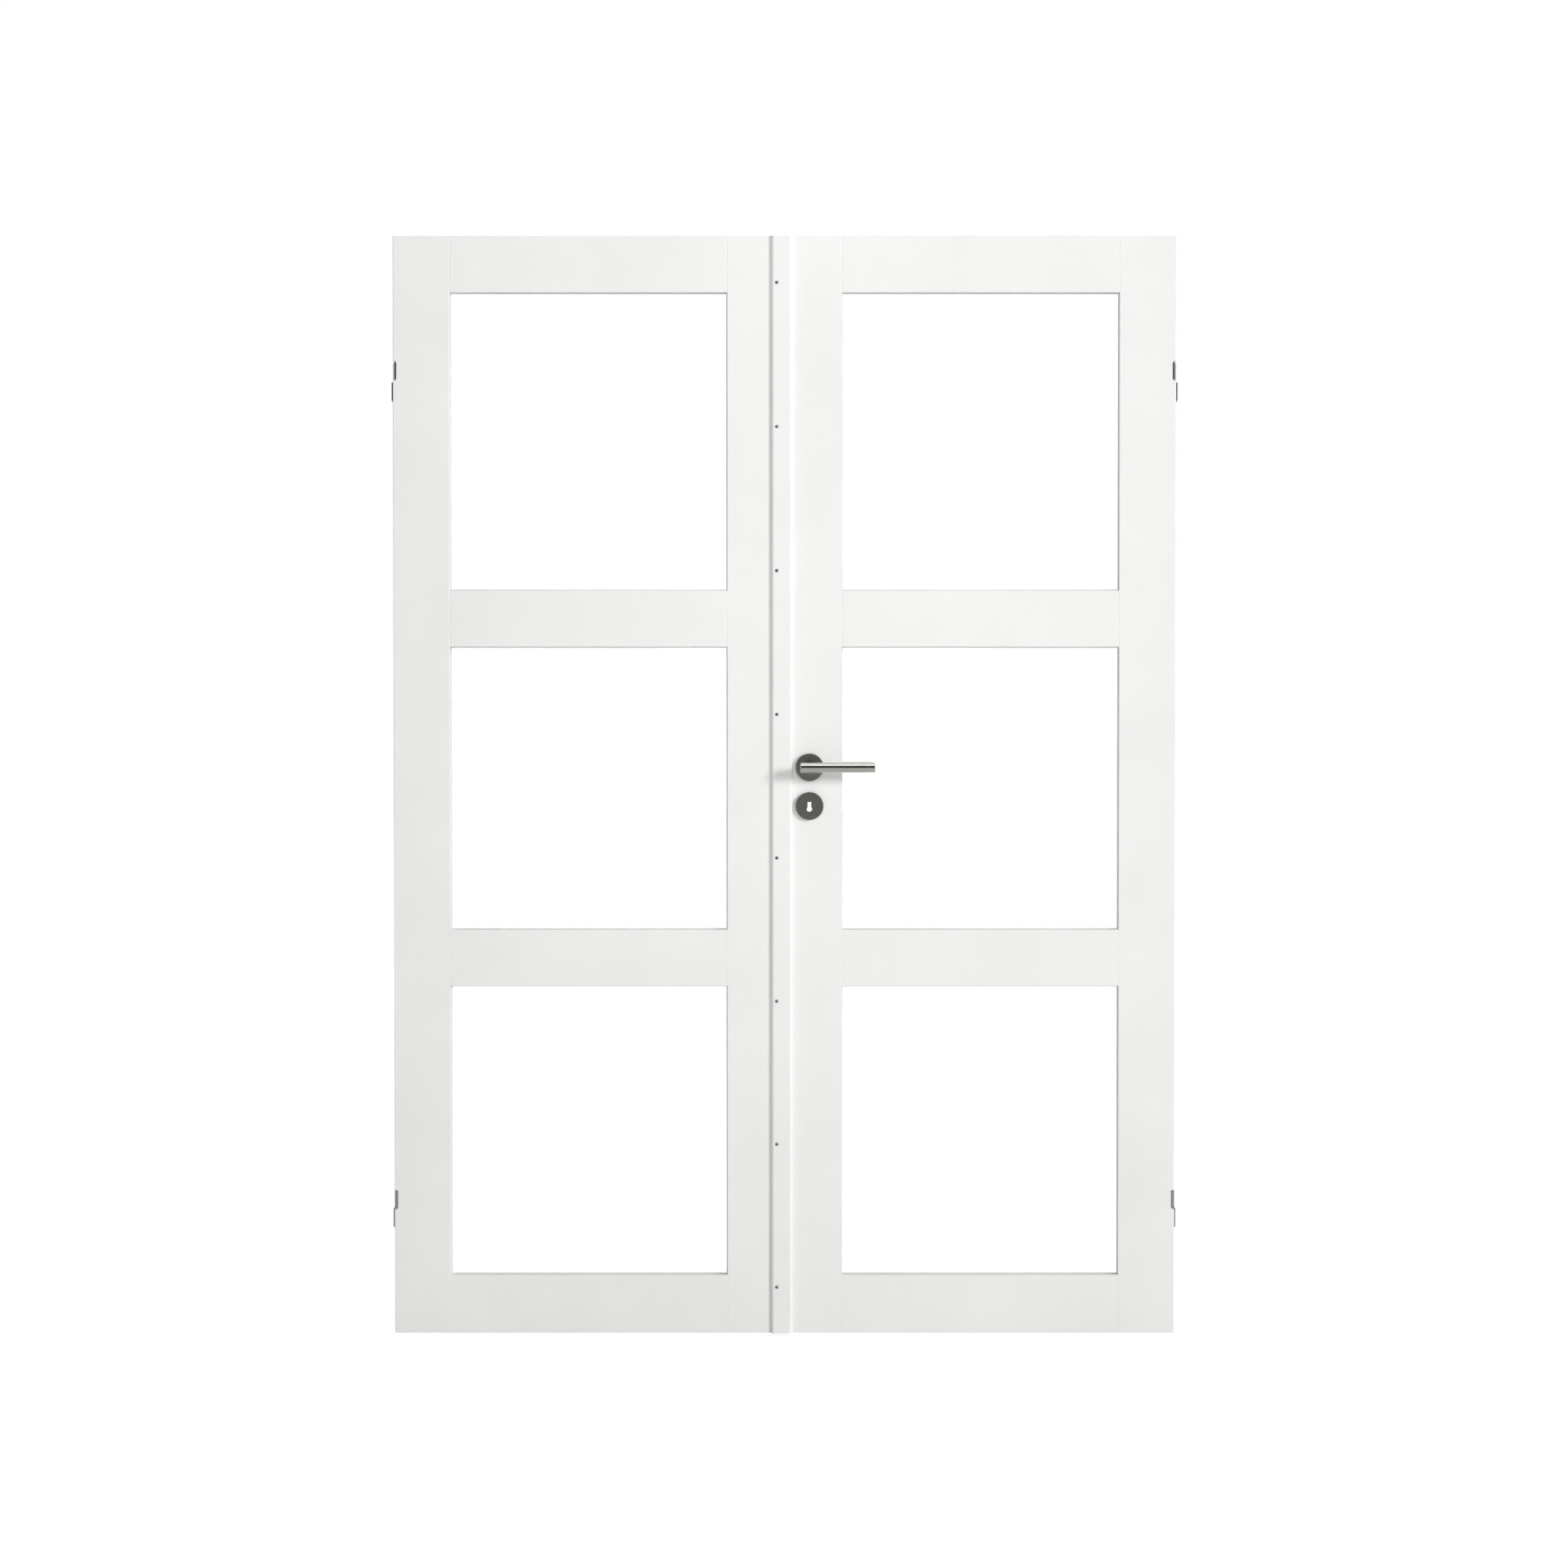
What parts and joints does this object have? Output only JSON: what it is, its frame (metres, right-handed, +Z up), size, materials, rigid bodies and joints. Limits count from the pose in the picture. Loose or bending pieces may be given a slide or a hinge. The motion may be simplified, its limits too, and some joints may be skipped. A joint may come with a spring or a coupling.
{
  "type": "french doors",
  "caption": "Pair of glazed interior door leaves with a cover strip over the meeting gap, mortise lock, lever handles, flush bolts and lift-off hinges.",
  "frame": {"origin": "on the floor line under the middle of the pair: the centre of the bounding box's foot", "axes": "+X to the right leaf seen from the cover strip's side, +Y to the side the leaves open to, where the hinge knuckles are, +Z up"},
  "size_m": [1.463, 0.159, 2.04],
  "materials": {
    "painted_wood": "white satin paint",
    "clear_glass": "clear polished",
    "satin_steel": "satin",
    "lock_steel": "zinc plated",
    "plate_steel": "satin",
    "hinge_steel": "satin",
    "screw_steel": "zinc plated",
    "base_plastic": "black moulded",
    "washer_brass": "turned"
  },
  "bodies": {
    "frame_hinges": {"right_lower_frame_hinge": "hinge_steel", "right_upper_frame_hinge": "hinge_steel", "left_lower_frame_hinge": "hinge_steel", "left_upper_frame_hinge": "hinge_steel", "hinge_pins": "screw_steel", "hinge_washers": "washer_brass"},
    "active_leaf": {"active_outer_stile": "painted_wood", "active_meeting_stile": "painted_wood", "active_bottom_rail": "painted_wood", "active_lower_middle_rail": "painted_wood", "active_upper_middle_rail": "painted_wood", "active_top_rail": "painted_wood", "active_glazing_beads": "painted_wood", "active_bottom_glass": "clear_glass", "active_middle_glass": "clear_glass", "active_top_glass": "clear_glass", "active_hinge_halves": "hinge_steel", "active_leaf_screws": "screw_steel", "lock_case": "lock_steel", "lock_cover": "lock_steel", "lock_forend": "plate_steel", "lock_springs": "lock_steel", "front_lever_rose": "satin_steel", "back_lever_rose": "satin_steel", "front_key_escutcheon": "satin_steel", "back_key_escutcheon": "satin_steel", "lever_rose_bases": "base_plastic", "key_escutcheon_bases": "base_plastic"},
    "passive_leaf": {"passive_outer_stile": "painted_wood", "passive_meeting_stile": "painted_wood", "passive_bottom_rail": "painted_wood", "passive_lower_middle_rail": "painted_wood", "passive_upper_middle_rail": "painted_wood", "passive_top_rail": "painted_wood", "passive_glazing_beads": "painted_wood", "passive_bottom_glass": "clear_glass", "passive_middle_glass": "clear_glass", "passive_top_glass": "clear_glass", "passive_hinge_halves": "hinge_steel", "passive_leaf_screws": "screw_steel", "cover_strip": "painted_wood", "cover_strip_screws": "screw_steel", "strike_plate": "plate_steel", "top_flush_bolt_plate": "plate_steel", "bottom_flush_bolt_plate": "plate_steel"},
    "levers": {"front_lever": "satin_steel", "back_lever": "satin_steel", "spindle": "lock_steel", "lock_follower": "lock_steel", "lever_set_screws": "screw_steel"},
    "latch": {"latch_bolt": "lock_steel"},
    "dead_bolt": {"dead_bolt": "lock_steel"},
    "top_flush_bolt": {"top_flush_bolt": "lock_steel"},
    "bottom_flush_bolt": {"bottom_flush_bolt": "lock_steel"}
  },
  "joints": [
    {"name": "active_leaf_swing", "type": "hinge", "parent": "frame_hinges", "child": "active_leaf", "pos_m": [0.7235, 0.0285, 0], "axis": [0, 0, -1], "range_deg": [0, 170]},
    {"name": "passive_leaf_swing", "type": "hinge", "parent": "frame_hinges", "child": "passive_leaf", "pos_m": [-0.7235, 0.0285, 0], "axis": [0, 0, 1], "range_deg": [0, 170]},
    {"name": "lever_press", "type": "hinge", "parent": "active_leaf", "child": "levers", "pos_m": [0.0465, 0, 1.055], "axis": [0, 1, 0], "range_deg": [0, 40], "stiffness_Nm_per_rad": 1, "springref_deg": -40.11},
    {"name": "latch_draw", "type": "slide", "parent": "active_leaf", "child": "latch", "axis": [1, 0, 0], "range_m": [0, 0.01]},
    {"name": "dead_bolt_throw", "type": "slide", "parent": "active_leaf", "child": "dead_bolt", "axis": [-1, 0, 0], "range_m": [0, 0.014]},
    {"name": "top_flush_bolt_throw", "type": "slide", "parent": "passive_leaf", "child": "top_flush_bolt", "axis": [0, 0, 1], "range_m": [0, 0.016]},
    {"name": "bottom_flush_bolt_throw", "type": "slide", "parent": "passive_leaf", "child": "bottom_flush_bolt", "axis": [0, 0, -1], "range_m": [0, 0.016]}
  ],
  "couplings": [
    {"joint": "latch_draw", "follows": "lever_press", "m_per_rad": 0.01432}
  ]
}
